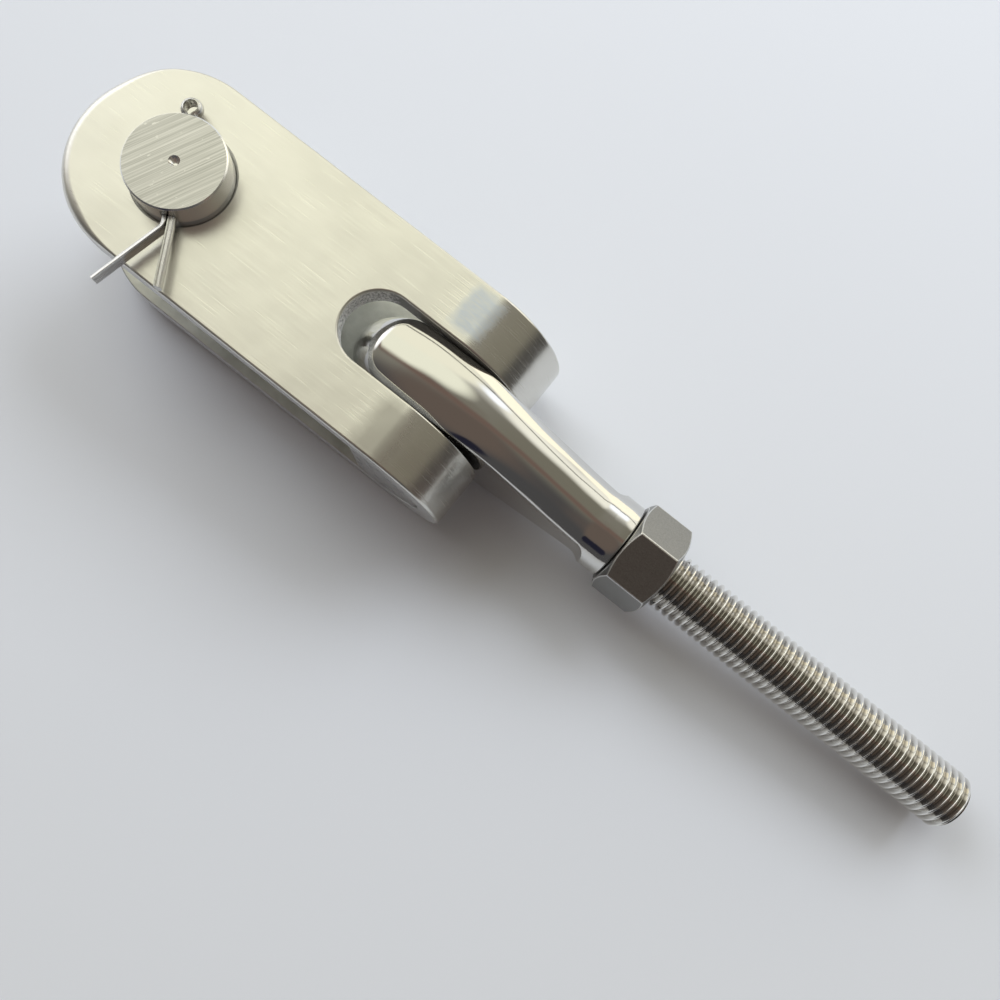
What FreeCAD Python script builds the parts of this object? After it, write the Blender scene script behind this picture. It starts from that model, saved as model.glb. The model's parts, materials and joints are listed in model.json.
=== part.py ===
import FreeCAD, Part
import math
import os
from FreeCAD import Vector

# Toggle jaw end fitting of a rigging turnbuckle, in millimetres.
# Origin: on the clevis pin's axis, midway between the two cheeks of the strap.
# +X runs from the clevis pin to the threaded stud, +Z runs up along the clevis pin.

X_AXIS = Vector(1, 0, 0)
Y_AXIS = Vector(0, 1, 0)
Z_AXIS = Vector(0, 0, 1)

# Fits between pieces
SWING_GAP = 0.3          # between pieces that move past each other
RUNNING_FIT = 0.08       # radial, pin in bore and nut on stud

# Toggle strap: one flat bar bent into a U
STRAP_WIDTH = 62.0
STRAP_HEIGHT = 50.0      # outside, over both cheeks
STRAP_THICKNESS = 8.0
STRAP_EDGE_ROUND = 1.2
BORE_CHAMFER = 0.8       # on the outside of each cheek
END_ARC_X = -6.6         # centre of the rounded free ends
PIVOT_X = 94.0           # centre of the bend, and of the cross-bar in it
SLOT_WIDTH = 23.4
SLOT_END_X = 61.5        # closed end of the slot in each cheek

# Clevis pin, put in from below
PIN_RADIUS = 15.0
PIN_HEAD_RADIUS = 18.0
PIN_HEAD_THICKNESS = 3.7
PIN_STAND_PROUD = 8.5    # end of the pin above the upper cheek
PIN_CHAMFER = 0.6
CENTRE_DRILL_RADIUS = 1.7
CENTRE_DRILL_DEPTH = 2.5

# Cotter pin: half-round wire folded into two legs and an eye
COTTER_RADIUS = 1.95
COTTER_SPLIT = 0.2       # gap between the flat sides of the legs
COTTER_HEIGHT = 3.6      # its axis above the upper cheek
COTTER_ANGLE = -59.3     # degrees in plan, from +X, towards the leg tips
COTTER_EYE_INNER = 1.9
COTTER_EYE_X = -19.3     # eye centre, measured along the cotter from the pin's axis
COTTER_LEG_TIP = 36.2    # end of the straight leg, measured the same way
COTTER_BEND_START = 16.5
COTTER_BEND_RADIUS = 4.0
COTTER_BEND_ANGLE = 41.0
COTTER_BENT_LENGTH = 23.5
COTTER_HOLE_RADIUS = 2.2

# T-bolt: cross-bar, slab-sided neck, round shoulder and threaded stud in one forging
CROSS_BAR_RADIUS = STRAP_HEIGHT / 2 - STRAP_THICKNESS - SWING_GAP
CROSS_BAR_BACK = -8.7    # flat back of the cross-bar, from its axis
CROSS_BAR_LENGTH = STRAP_WIDTH - 0.4
CROSS_BAR_CHAMFER = 0.8
HUB_WIDTH = 22.4          # round the cross-bar, where the T-bolt fills the strap's slot
HUB_TAPER_START = 2.0     # the hub narrows to the neck from here
HUB_TAPER_END = 30.0      # to here
NECK_WIDTH = 20.4
NECK_CROWN = 8.0         # rounding along the neck's top and bottom edges
NECK_TOP_LINE = [(-30.3, 0.0), (-26.6, 12.5), (-16.0, 21.8), (2.0, 25.4), (20.0, 25.1),
                 (40.0, 20.0), (54.0, 15.4), (66.0, 13.0)]
SHOULDER_RADIUS = 13.0
SHOULDER_START = 62.0
SHOULDER_FULL = 66.0     # where the ramp off the neck's flats reaches full radius
SHOULDER_END = 72.8      # bearing face for the nut
SHOULDER_CHAMFER = 0.8
STUD_RADIUS = 9.525      # 3/4 inch, 10 threads per inch
STUD_SEAT_RADIUS = 8.7   # the thread's pitch radius, where the lock nut covers it at rest
STUD_END = 200.8
STUD_CHAMFER = 1.2
REST_DROOP = 1.36        # degrees the stud hangs below the strap when the fitting lies flat

# Lock nut, 3/4 inch, 1-1/8 inch across flats
NUT_ACROSS_FLATS = 28.575
NUT_HEIGHT = 16.3
NUT_CORNER_TURN = 10.0   # degrees from +Z of the corner nearest it
NUT_CHAMFER_ANGLE = 30.0
NUT_BORE_CHAMFER = 1.0
NUT_START = SHOULDER_END + SWING_GAP


def box(low, high):
    size = Vector(*high) - Vector(*low)
    return Part.makeBox(size.x, size.y, size.z, Vector(*low))


def cylinder(radius, start, end):
    """Solid cylinder between two points."""
    axis = Vector(*end) - Vector(*start)
    return Part.makeCylinder(radius, axis.Length, Vector(*start), axis)


def smooth_line(points):
    """Smooth curve through (x, z) points in the XZ plane."""
    curve = Part.BSplineCurve()
    curve.interpolate([Vector(x, 0, z) for x, z in points])
    return curve.toShape()


def toggle_strap():
    outer = STRAP_HEIGHT / 2
    inner = outer - STRAP_THICKNESS
    half_width = STRAP_WIDTH / 2
    free_end = END_ARC_X - half_width
    full = box((free_end, -half_width, -outer), (PIVOT_X, half_width, outer))
    full = full.fuse(cylinder(outer, (PIVOT_X, -half_width, 0), (PIVOT_X, half_width, 0)))
    # plan outline: half-round free end, straight sides past the bend
    plan = cylinder(half_width, (END_ARC_X, 0, -outer), (END_ARC_X, 0, outer))
    plan = plan.fuse(box((END_ARC_X, -half_width, -outer), (PIVOT_X + outer, half_width, outer)))
    strap = full.common(plan).removeSplitter()
    strap = strap.makeFillet(STRAP_EDGE_ROUND, strap.Edges)
    gap = box((free_end - 1, -half_width - 1, -inner), (PIVOT_X, half_width + 1, inner))
    gap = gap.fuse(cylinder(inner, (PIVOT_X, -half_width - 1, 0), (PIVOT_X, half_width + 1, 0)))
    strap = strap.cut(gap)
    slot_radius = SLOT_WIDTH / 2
    slot_centre = SLOT_END_X + slot_radius
    slot = cylinder(slot_radius, (slot_centre, 0, -outer - 1), (slot_centre, 0, outer + 1))
    slot = slot.fuse(box((slot_centre, -slot_radius, -outer - 1),
                         (PIVOT_X + outer + 1, slot_radius, outer + 1)))
    strap = strap.cut(slot)
    bore_radius = PIN_RADIUS + RUNNING_FIT
    strap = strap.cut(cylinder(bore_radius, (0, 0, -outer - 1), (0, 0, outer + 1)))
    for up in (1, -1):
        lead_in = Part.makeCone(bore_radius + BORE_CHAMFER, bore_radius, BORE_CHAMFER,
                                Z_AXIS * (up * outer), Z_AXIS * -up)
        strap = strap.cut(lead_in)
    return strap


def cotter_frame():
    """Cotter axis, and the point where it crosses the pin's axis."""
    turn = math.radians(COTTER_ANGLE)
    return Vector(math.cos(turn), math.sin(turn), 0), Vector(0, 0, STRAP_HEIGHT / 2 + COTTER_HEIGHT)


def clevis_pin():
    under = -STRAP_HEIGHT / 2 - SWING_GAP
    top = STRAP_HEIGHT / 2 + PIN_STAND_PROUD
    shank = cylinder(PIN_RADIUS, (0, 0, under), (0, 0, top))
    shank = shank.makeChamfer(PIN_CHAMFER, [edge for edge in shank.Edges
                                            if abs(edge.BoundBox.ZMin - top) < 1e-6])
    head = cylinder(PIN_HEAD_RADIUS, (0, 0, under - PIN_HEAD_THICKNESS), (0, 0, under))
    head = head.makeChamfer(PIN_CHAMFER, head.Edges[:1] + head.Edges[2:])
    drill = Part.makeCone(0, CENTRE_DRILL_RADIUS, CENTRE_DRILL_DEPTH,
                          Vector(0, 0, top - CENTRE_DRILL_DEPTH), Z_AXIS)
    along, middle = cotter_frame()
    reach = along * (PIN_RADIUS + 1)
    cross_hole = cylinder(COTTER_HOLE_RADIUS, middle - reach, middle + reach)
    return shank.fuse(head).removeSplitter().cut(drill).cut(cross_hole)


def half_disc(flat_centre, bulge, up, radius):
    """Half-disc face: flat side through flat_centre, bulging towards `bulge`."""
    low = flat_centre - up * radius
    high = flat_centre + up * radius
    arc = Part.Arc(low, flat_centre + bulge * radius, high).toShape()
    return Part.Face(Part.Wire([arc, Part.LineSegment(high, low).toShape()]))


def cotter_pin():
    along, middle = cotter_frame()
    side = Z_AXIS.cross(along)
    eye = middle + along * COTTER_EYE_X
    leg_start = eye + along * (COTTER_EYE_INNER + COTTER_RADIUS / 2)
    split = side * (COTTER_SPLIT / 2)
    straight_length = COTTER_LEG_TIP - COTTER_EYE_X - COTTER_EYE_INNER - COTTER_RADIUS / 2
    straight_leg = half_disc(leg_start + split, side, Z_AXIS, COTTER_RADIUS)
    straight_leg = straight_leg.extrude(along * straight_length)
    # the other leg is straight through the pin, then bent away
    to_bend = COTTER_BEND_START - COTTER_EYE_X - COTTER_EYE_INNER - COTTER_RADIUS / 2
    bent_leg = half_disc(leg_start - split, side * -1, Z_AXIS, COTTER_RADIUS).extrude(along * to_bend)
    bend_start = leg_start + along * to_bend - split
    section = half_disc(bend_start, side * -1, Z_AXIS, COTTER_RADIUS)
    bend_centre = bend_start - side * COTTER_BEND_RADIUS
    bend = section.revolve(bend_centre, Z_AXIS, -COTTER_BEND_ANGLE)
    tail = section.copy()
    tail.rotate(bend_centre, Z_AXIS, -COTTER_BEND_ANGLE)
    turned = FreeCAD.Rotation(Z_AXIS, -COTTER_BEND_ANGLE).multVec(along)
    tail = tail.extrude(turned * COTTER_BENT_LENGTH)
    ring = half_disc(eye - side * COTTER_EYE_INNER, side * -1, Z_AXIS, COTTER_RADIUS)
    ring = ring.revolve(eye, Z_AXIS, 360)
    return ring.multiFuse([straight_leg, bent_leg, bend, tail]).removeSplitter()


def neck_plan():
    """The neck seen from above, as deep as the hub: the wide hub, its taper and the slab."""
    front, back, depth = NECK_TOP_LINE[0][0] - 1, NECK_TOP_LINE[-1][0], NECK_TOP_LINE[3][1] + 1
    outline = []
    for side in (1, -1):
        hub, slab = side * HUB_WIDTH / 2, side * NECK_WIDTH / 2
        start, end = Vector(HUB_TAPER_START, hub, 0), Vector(HUB_TAPER_END, slab, 0)
        taper = Part.BSplineCurve()
        taper.interpolate(Points=[start, (start + end) / 2, end],
                          InitialTangent=X_AXIS, FinalTangent=X_AXIS)
        outline += [Part.LineSegment(Vector(front, hub, 0), start).toShape(), taper.toShape(),
                    Part.LineSegment(end, Vector(back, slab, 0)).toShape()]
    for x, half in ((front, HUB_WIDTH / 2), (back, NECK_WIDTH / 2)):
        outline.append(Part.LineSegment(Vector(x, -half, 0), Vector(x, half, 0)).toShape())
    plan = Part.Face(Part.Wire(Part.__sortEdges__(outline)))
    plan.translate(Z_AXIS * -depth)
    return plan.extrude(Z_AXIS * 2 * depth)


def t_bolt():
    """Built in line with the strap, about the cross-bar's axis, and then turned to its rest angle."""
    half_bar = CROSS_BAR_LENGTH / 2
    bar = cylinder(CROSS_BAR_RADIUS, (0, -half_bar, 0), (0, half_bar, 0))
    bar = bar.cut(box((-CROSS_BAR_RADIUS - 1, -half_bar - 1, -CROSS_BAR_RADIUS - 1),
                      (CROSS_BAR_BACK, half_bar + 1, CROSS_BAR_RADIUS + 1)))
    bar = bar.makeChamfer(CROSS_BAR_CHAMFER, bar.Edges)
    # slab-sided neck, full round along its top and bottom
    bottom_line = [(x, -z) for x, z in reversed(NECK_TOP_LINE[1:])]
    profile = smooth_line(bottom_line + NECK_TOP_LINE)
    tip_x, tip_z = NECK_TOP_LINE[-1]
    tip = Part.LineSegment(Vector(tip_x, 0, tip_z), Vector(tip_x, 0, -tip_z)).toShape()
    neck = Part.Face(Part.Wire(Part.__sortEdges__([profile, tip])))
    neck.translate(Y_AXIS * (-HUB_WIDTH / 2))
    neck = neck.extrude(Y_AXIS * HUB_WIDTH)
    neck = neck.common(neck_plan())
    outline = [edge for edge in neck.Edges
               if edge.BoundBox.XLength > 1 and edge.BoundBox.ZLength > 1e-3]
    neck = neck.makeFillet(NECK_CROWN, outline)
    ramp = Part.makeCone(NECK_WIDTH / 2, SHOULDER_RADIUS, SHOULDER_FULL - SHOULDER_START,
                         Vector(SHOULDER_START, 0, 0), X_AXIS)
    shoulder = cylinder(SHOULDER_RADIUS, (SHOULDER_FULL, 0, 0), (SHOULDER_END, 0, 0))
    rim = [edge for edge in shoulder.Edges if abs(edge.BoundBox.XMin - SHOULDER_END) < 1e-6]
    shoulder = shoulder.makeChamfer(SHOULDER_CHAMFER, rim)
    seat_end = NUT_START + NUT_HEIGHT + SWING_GAP
    seat = cylinder(STUD_SEAT_RADIUS, (SHOULDER_END, 0, 0), (seat_end, 0, 0))
    stud = cylinder(STUD_RADIUS, (seat_end, 0, 0), (STUD_END, 0, 0))
    end = [edge for edge in stud.Edges if abs(edge.BoundBox.XMin - STUD_END) < 1e-6]
    stud = stud.makeChamfer(STUD_CHAMFER, end)
    return place_at_rest(bar.multiFuse([neck, ramp, shoulder, seat, stud]))


def lock_nut():
    corner_radius = NUT_ACROSS_FLATS / math.sqrt(3)
    corners = []
    for index in range(6):
        angle = math.radians(NUT_CORNER_TURN + 60 * index)
        corners.append(Vector(0, corner_radius * math.sin(angle), corner_radius * math.cos(angle)))
    hexagon = Part.Face(Part.makePolygon(corners + corners[:1]))
    nut = hexagon.extrude(X_AXIS * NUT_HEIGHT)
    # 30 degree chamfers take the corners off both faces
    flat_radius = NUT_ACROSS_FLATS / 2 - 0.3
    slope = math.tan(math.radians(NUT_CHAMFER_ANGLE))
    depth = (corner_radius + 1 - flat_radius) * slope
    limit = Part.makeCone(flat_radius, corner_radius + 1, depth, Vector(0, 0, 0), X_AXIS)
    limit = limit.fuse(cylinder(corner_radius + 1, (depth, 0, 0), (NUT_HEIGHT - depth, 0, 0)))
    limit = limit.fuse(Part.makeCone(corner_radius + 1, flat_radius, depth,
                                     Vector(NUT_HEIGHT - depth, 0, 0), X_AXIS))
    nut = nut.common(limit)
    bore_radius = STUD_RADIUS + RUNNING_FIT
    nut = nut.cut(cylinder(bore_radius, (-1, 0, 0), (NUT_HEIGHT + 1, 0, 0)))
    for start, direction in ((0, 1), (NUT_HEIGHT, -1)):
        lead_in = Part.makeCone(bore_radius + NUT_BORE_CHAMFER, bore_radius, NUT_BORE_CHAMFER,
                                Vector(start, 0, 0), X_AXIS * direction)
        nut = nut.cut(lead_in)
    nut.translate(X_AXIS * NUT_START)
    return place_at_rest(nut)


def place_at_rest(shape):
    """Move a shape made about the cross-bar's axis into the strap, and let the stud droop."""
    shape.rotate(Vector(0, 0, 0), Y_AXIS, REST_DROOP)
    shape.translate(X_AXIS * PIVOT_X)
    return shape


os.makedirs("parts", exist_ok=True)
for make in (toggle_strap, clevis_pin, cotter_pin, t_bolt, lock_nut):
    shape = make()
    print(make.__name__, shape.ShapeType, len(shape.Solids), shape.isValid(), round(shape.Volume))
    shape.Solids[0].exportStep("parts/%s.step" % make.__name__)
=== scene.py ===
import json
import math

import bmesh
import bpy
import numpy as np
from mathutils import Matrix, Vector
from mathutils.geometry import delaunay_2d_cdt

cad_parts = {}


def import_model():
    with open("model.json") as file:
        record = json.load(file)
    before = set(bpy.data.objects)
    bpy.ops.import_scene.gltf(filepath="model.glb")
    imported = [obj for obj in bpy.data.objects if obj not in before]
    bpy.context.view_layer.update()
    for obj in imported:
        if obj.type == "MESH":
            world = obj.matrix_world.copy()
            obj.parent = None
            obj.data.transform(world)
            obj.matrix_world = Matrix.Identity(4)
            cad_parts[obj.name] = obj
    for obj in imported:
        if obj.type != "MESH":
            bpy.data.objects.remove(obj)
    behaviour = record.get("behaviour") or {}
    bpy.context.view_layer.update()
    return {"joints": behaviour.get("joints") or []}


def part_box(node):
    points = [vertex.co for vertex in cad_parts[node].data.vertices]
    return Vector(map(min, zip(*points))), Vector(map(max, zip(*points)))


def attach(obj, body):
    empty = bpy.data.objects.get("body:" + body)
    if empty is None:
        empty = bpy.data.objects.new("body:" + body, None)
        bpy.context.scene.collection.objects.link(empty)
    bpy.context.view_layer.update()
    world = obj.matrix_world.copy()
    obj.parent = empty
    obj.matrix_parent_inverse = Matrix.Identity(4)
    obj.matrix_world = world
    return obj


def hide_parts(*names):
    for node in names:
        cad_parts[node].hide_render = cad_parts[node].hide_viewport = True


# Toggle jaw of a rigging turnbuckle. Shapes are worked out in millimetres in the CAD frame,
# from the CAD nodes' boxes and joints, and become metres when a mesh is made.

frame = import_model()

MM = 0.001
SWING_GAP = 0.3                          # between pieces that move past each other
RUNNING_FIT = 0.08                       # radial, pin in bore


def corners(node):
    """Lowest and highest corner of a CAD node, in millimetres."""
    low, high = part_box(node)
    return low / MM, high / MM


joints = {joint["name"]: joint for joint in frame["joints"]}
strap_low, strap_high = corners("toggle_strap")
pin_low, pin_high = corners("clevis_pin")
cotter_low, cotter_high = corners("cotter_pin")
PIVOT_X = joints["t_bolt_swing"]["pos_m"][0] / MM
STUD_AXIS = Vector(joints["nut_travel"]["axis"]).normalized()
STUD_UP = Vector((-STUD_AXIS.z, 0, STUD_AXIS.x))

# Toggle strap
HALF_WIDTH = strap_high.y
OUTER = strap_high.z                     # outside radius of the bend, half the height of the U
THICKNESS = 8.0
END_ARC_X = strap_low.x + HALF_WIDTH     # centre of the rounded free ends
END_ROUND = 3.8                          # hand-blended edge round part of the free ends
END_ROUND_TURN = math.radians(205)       # middle of that stretch, from +X about the end's centre
SIDE_ROUND = 0.9                         # crisper edge along the sides
SLOT_ROUND = 0.7
INNER_ROUND = 0.5                        # edges on the inside of the U
SLOT_RADIUS = 11.7
SLOT_END_X = 61.5
BORE_CHAMFER = 0.8
BEND_LENGTH = math.pi * OUTER
SHEET_LENGTH = 2 * PIVOT_X + BEND_LENGTH  # unrolled distance between the two bores
BEND_STEPS = 60                          # every 3 degrees round the bend
CHEEK_STEPS = 24
EDGE_STEPS = 6                           # across an outside edge's rounding
INNER_STEPS = 3

# Clevis pin and cotter
PIN_RADIUS = 15.0
HEAD_RADIUS = pin_high.x
HEAD_TOP = -OUTER - SWING_GAP
PIN_CHAMFER = 0.4
DRILL_RADIUS = 1.7
DRILL_DEPTH = 2.5
CROSS_HOLE_RADIUS = 2.2
COTTER_RADIUS = (cotter_high.z - cotter_low.z) / 2
COTTER_Z = (cotter_high.z + cotter_low.z) / 2
COTTER_ANGLE = math.radians(-59.3)
COTTER_SPLIT = 0.1                       # from the middle to each leg's flat side
COTTER_EYE_INNER = 1.9
COTTER_EYE_X = -19.3
COTTER_EYE_BLEND = 2.3                   # radius where each leg opens out into the eye
COTTER_EYE_THIN = 0.72                   # thickness of the wire round the eye, over that of the legs
COTTER_LEG_TIP = 36.2
COTTER_BEND_START = 16.5
COTTER_BEND_RADIUS = 4.0
COTTER_BEND_ANGLE = math.radians(41)
COTTER_BENT_LENGTH = 23.5

# T-bolt, along the stud from the cross-bar's axis
BAR_RADIUS = OUTER - THICKNESS - SWING_GAP
BAR_BACK = 8.7
BAR_HALF_LENGTH = HALF_WIDTH - 0.2
BAR_CHAMFER = 0.8
HUB_HALF = 11.2                          # half width where it fills the strap's slot
NECK_HALF = 10.2
HUB_END = 2.0                            # the width tapers from here
NECK_START = 30.0                        # to here
CROWN_RADIUS = 13.0                      # across the neck, and of the round shoulder
HUB_CROWN_RADIUS = 19.0                  # the hub's crown is flatter
HUB_CROWN_END = -5.0                     # the crown grows rounder from here
NECK_CROWN_START = 38.0                  # to here
RIDGE_LINE = [(-20.3, 22.8), (-10.0, 24.6), (2.0, 25.4), (20.0, 25.1),
              (40.0, 20.0), (54.0, 15.2), (66.0, 12.0)]
NOSE_FRONT = -30.3
NOSE_TOP = 22.5                          # height where the nose meets the crown
NOSE_REACH = 10.0                        # how far the nose bulges out below that
NOSE_POWER = 2.3
NOSE_EDGE = 1.5                          # easing between crown and sides at the nose
HUB_EDGE = 1.2                           # along the hub
NECK_EDGE = 0.4                          # and along the neck
NECK_EDGE_START = 20.0
SHOULDER_BLEND = 0.12                    # softness of the corner between neck and shoulder
RAMP_START = 62.0
SHOULDER_FULL = 66.0
SHOULDER_MIDDLE = 69.0
SHOULDER_END = 72.8
SHOULDER_CHAMFER = 0.7
RELIEF_END = 75.0
STUD_END = 200.8
THREAD_RADIUS = 9.525
THREAD_PITCH = 2.54
THREAD_DEPTH = 0.5413 * THREAD_PITCH     # of the standard 60 degree thread
THREAD_TURN = 96                         # points in one turn
CORE_RADIUS = THREAD_RADIUS - 1          # of the stud where it leaves the shoulder
END_CHAMFER = 1.5

# Lock nut
NUT_HALF_FLATS = 28.575 / 2
NUT_START = 73.1
NUT_HEIGHT = 16.3
NUT_BORE = 9.605
NUT_TURN = 10.0
NUT_CORNER_ROUND = 0.7
NUT_FACE_RADIUS = NUT_HALF_FLATS - 0.3
NUT_FACE_EDGE = 0.2                      # worn edge between each face and its chamfer
NUT_BORE_CHAMFER = 1.0
NUT_CHAMFER_SLOPE = math.tan(math.radians(30))

# Patches on the outside of the strap, as ranges along and across it: a bluish painted highlight with
# brush streaks, and a duller patch of painted shade, either side of the slot where the bend starts
BRUSHED_HIGHLIGHT_PATCH = ((87.0, 98.0), (14.5, 28.5))
DULL_SHADE_PATCH = ((87.5, 98.0), (-31.5, -13.5))

# What the polished metal reflects: soft pools of tone laid over the room one after another.
# Each is its azimuth, elevation, inner and outer radius in degrees, and its colour.
ROOM_TONE = (0.27, 0.255, 0.215)
DARK_POOLS = [(5, 35, 20, 60, (0.23, 0.215, 0.17)),
              (15, 6, 12, 30, (0.075, 0.073, 0.07)),
              (-80, 5, 50, 80, (0.085, 0.083, 0.085)),
              (-85, 58, 15, 38, (0.16, 0.125, 0.105)),
              (90, 86, 4, 12, (0.24, 0.22, 0.18))]
BROWN_BAR = (-90, -5, 1, 9, (0.20, 0.14, 0.115))
BRIGHT_POOLS = [(145, 52, 20, 29, (1.17, 1.165, 0.965)),
                (86, 26, 8, 36, (0.85, 0.84, 0.76)),
                (64, 30, 8, 24, (1.25, 1.22, 1.08)),
                (122, 30, 20, 27, (1.2, 1.17, 0.96)),
                (84, 5, 18, 22, (1.55, 1.46, 1.18)),
                (86, 37, 1, 11, (1.5, 1.55, 1.65)),
                (-82, 24, 6, 10, (0.02, 0.02, 0.035)),
                (168, 18, 14, 30, (1.7, 1.7, 1.7))]
THIN_DARK_BAR = (-90, 61, 0.5, 1.6, (0.12, 0.11, 0.10))
DAYLIGHT = (0.88, 0.94, 1.0)


class Shell:
    """Points, faces and corner normals of one piece. Points that coincide are welded."""

    def __init__(self):
        self.points = []
        self.place = {}
        self.grain = []
        self.faces = []
        self.normals = []
        self.slots = []

    def add(self, point, grain):
        """Index of a point, added if there is none there yet."""
        key = tuple(round(c, 4) for c in point)
        if key not in self.place:
            self.place[key] = len(self.points)
            self.points.append(tuple(point))
            self.grain.append(tuple(grain))
        return self.place[key]

    def face(self, corners, slot=0):
        """Each corner is (point, normal or None, grain or None); a face with no area is left out."""
        ids = [self.add(point, grain or point) for point, normal, grain in corners]
        keep = [i for i in range(len(ids)) if ids[i] != ids[i - 1]]
        if len(set(ids[i] for i in keep)) < 3 or len(set(ids[i] for i in keep)) < len(keep):
            return
        points = [Vector(corners[i][0]) for i in keep]
        normals = [corners[i][1] for i in keep]
        if normals[0] is not None:
            facing = Vector((0, 0, 0))
            for i in range(1, len(points) - 1):
                facing += (points[i] - points[0]).cross(points[i + 1] - points[0])
            if facing.dot(sum((Vector(n) for n in normals), Vector((0, 0, 0)))) < 0:
                keep.reverse()
                normals.reverse()
        self.faces.append([ids[i] for i in keep])
        self.normals.extend((0, 0, 0) if n is None else tuple(n) for n in normals)
        self.slots.append(slot)

    def grid(self, rows, around=False, slot=0):
        """Quads between rows of corners; `around` joins each row's end to its start."""
        for first, second in zip(rows, rows[1:]):
            count = len(first) if around else len(first) - 1
            for i in range(count):
                j = (i + 1) % len(first)
                self.face([first[i], first[j], second[j], second[i]], slot)


def plain(points):
    """Corners with no stated normal."""
    return [(point, None, None) for point in points]


def make_piece(name, shell, materials, body, node=None, sharp=None, weighted=False):
    """Turn a shell into an object that rides on a body. `sharp` is the angle kept as an edge."""
    mesh = bpy.data.meshes.new(name)
    mesh.from_pydata([Vector(p) * MM for p in shell.points], [], shell.faces)
    for material in materials:
        mesh.materials.append(material)
    mesh.polygons.foreach_set("material_index", shell.slots)
    grain = mesh.attributes.new("grain", "FLOAT_VECTOR", "POINT")
    grain.data.foreach_set("vector", np.array(shell.grain, np.float32).ravel())
    mesh.shade_smooth()
    if sharp is None:
        mesh.normals_split_custom_set(shell.normals)
    else:
        turned = bmesh.new()
        turned.from_mesh(mesh)
        bmesh.ops.recalc_face_normals(turned, faces=turned.faces)
        turned.to_mesh(mesh)
        turned.free()
        mesh.set_sharp_from_angle(angle=math.radians(sharp))
    piece = bpy.data.objects.new(name, mesh)
    bpy.context.scene.collection.objects.link(piece)
    if weighted:
        modifier = piece.modifiers.new("weighted", "WEIGHTED_NORMAL")
        modifier.keep_sharp = True
    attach(piece, body)
    if node:
        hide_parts(node)
    return piece


def smoothstep(low, high, value):
    """Nought at low, one at high, and an even curve between them."""
    t = min(max((value - low) / (high - low), 0.0), 1.0)
    return t * t * (3 - 2 * t)


# ---- toggle strap

def fold(s, y, depth):
    """Place a point of the unrolled strap: s along its outside, depth below its outside."""
    turn = min(max((s - PIVOT_X) / OUTER, 0.0), math.pi)
    straight = min(s, PIVOT_X) - max(s - PIVOT_X - BEND_LENGTH, 0.0)
    return (straight + (OUTER - depth) * math.sin(turn), y, (OUTER - depth) * math.cos(turn))


def fold_normal(s, along, across, out):
    """Turn a direction on the unrolled strap with the strap at s."""
    turn = min(max((s - PIVOT_X) / OUTER, 0.0), math.pi)
    return Vector((along * math.cos(turn) + out * math.sin(turn), across,
                   out * math.cos(turn) - along * math.sin(turn))).normalized()


def strap_corner(s, y, depth, along, across, out):
    """Corner of a face on the folded strap, with its normal and its grain."""
    return (fold(s, y, depth), fold_normal(s, along, across, out), (s, y, depth))


def side_stations(start, end):
    """Places along a side: wide apart on the cheeks, close together round the bend."""
    far = PIVOT_X + BEND_LENGTH
    places = [start + (PIVOT_X - start) * i / CHEEK_STEPS for i in range(CHEEK_STEPS)]
    places += [PIVOT_X + BEND_LENGTH * i / BEND_STEPS for i in range(BEND_STEPS + 1)]
    places += [far + (end - far) * i / CHEEK_STEPS for i in range(1, CHEEK_STEPS + 1)]
    return places


def stadium(start, end, radius):
    """Slot-shaped loop of (s, y, outward s, outward y) about the centres start and end."""
    sides = side_stations(start, end)
    turns = [math.pi * i / 48 for i in range(1, 48)]
    loop = [(s, radius, 0.0, 1.0) for s in sides]
    loop += [(end + radius * math.sin(t), radius * math.cos(t), math.sin(t), math.cos(t))
             for t in turns]
    loop += [(s, -radius, 0.0, -1.0) for s in reversed(sides)]
    loop += [(start - radius * math.sin(t), -radius * math.cos(t), -math.sin(t), -math.cos(t))
             for t in turns]
    return loop


def circle(centre, radius, count=128):
    """Round loop, laid out as in stadium."""
    turns = [2 * math.pi * i / count for i in range(count)]
    return [(centre + radius * math.cos(t), radius * math.sin(t), math.cos(t), math.sin(t))
            for t in turns]


def end_round(s, y):
    """Edge radius of the outline: wide round part of each free end, narrow elsewhere."""
    turn = math.atan2(y, min(s, SHEET_LENGTH - s) - END_ARC_X) % (2 * math.pi)
    apart = math.degrees(abs(turn - END_ROUND_TURN))
    return SIDE_ROUND + (END_ROUND - SIDE_ROUND) * (1 - smoothstep(40, 80, apart))


def edge_rows(loop, outward, radius_at):
    """Rounded edge, wall and inner rounding of a loop, from the outside to the inside."""
    rows = []
    for i in range(EDGE_STEPS + 1):
        turn = math.pi / 2 * i / EDGE_STEPS
        row = []
        for s, y, es, ey in loop:
            r = radius_at(s, y)
            inset = r * (1 - math.sin(turn)) * outward
            row.append(strap_corner(s - es * inset, y - ey * inset, r * (1 - math.cos(turn)),
                                    es * outward * math.sin(turn), ey * outward * math.sin(turn),
                                    math.cos(turn)))
        rows.append(row)
    for i in range(INNER_STEPS + 1):
        turn = math.pi / 2 * i / INNER_STEPS
        row = []
        for s, y, es, ey in loop:
            inset = INNER_ROUND * (1 - math.cos(turn)) * outward
            row.append(strap_corner(s - es * inset, y - ey * inset,
                                    THICKNESS - INNER_ROUND * (1 - math.sin(turn)),
                                    es * outward * math.cos(turn), ey * outward * math.cos(turn),
                                    -math.sin(turn)))
        rows.append(row)
    return rows


def chamfer_rows(loop):
    """Flat chamfer and wall of a bore."""
    rows = []
    lean = math.sqrt(0.5)
    for inset, depth in ((BORE_CHAMFER, 0), (0, BORE_CHAMFER)):
        rows.append([strap_corner(s + es * inset, y + ey * inset, depth, -es * lean, -ey * lean, lean)
                     for s, y, es, ey in loop])
    for depth in (BORE_CHAMFER, THICKNESS):
        rows.append([strap_corner(s, y, depth, -es, -ey, 0) for s, y, es, ey in loop])
    return rows


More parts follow.
